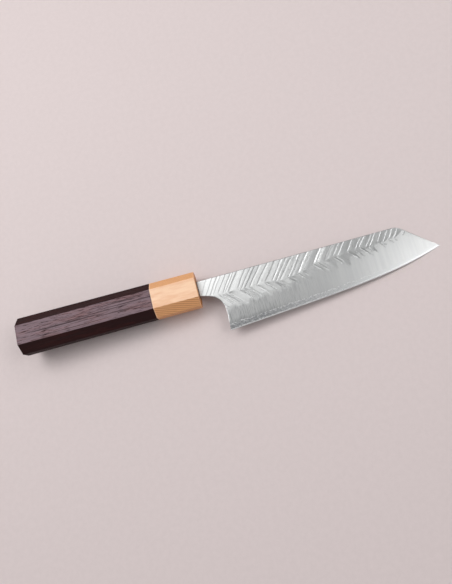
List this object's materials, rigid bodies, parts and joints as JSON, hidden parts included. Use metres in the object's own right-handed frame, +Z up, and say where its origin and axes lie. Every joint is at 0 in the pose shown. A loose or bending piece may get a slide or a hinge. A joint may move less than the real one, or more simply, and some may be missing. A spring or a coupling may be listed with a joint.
{
  "type": "bunka knife",
  "caption": "Kitchen knife with a three-layer blade, straight clipped back and pointed tip, on an eight-sided wooden handle with a pale ferrule.",
  "frame": {"origin": "middle of the knife's bounding box, at the height of the table that it lies on", "axes": "+X from handle to tip, +Y towards the spine, +Z up from the table and out of the right cheek; the knife's own axis leans 3.3 degrees down towards the tip, because tip and ferrule carry it"},
  "size_m": [0.315, 0.0494, 0.0291],
  "materials": {
    "hard_steel": "satin",
    "soft_steel": "satin",
    "dark_wood": "satin",
    "pale_wood": "satin",
    "dowel_wood": "matte",
    "dark_resin": "satin"
  },
  "bodies": {
    "root": {"core_steel": "hard_steel", "right_cladding": "soft_steel", "left_cladding": "soft_steel", "neck_seal": "dark_resin", "tang_bedding": "dark_resin", "handle_dowel": "dowel_wood", "ferrule": "pale_wood", "handle_body": "dark_wood"}
  },
  "joints": []
}
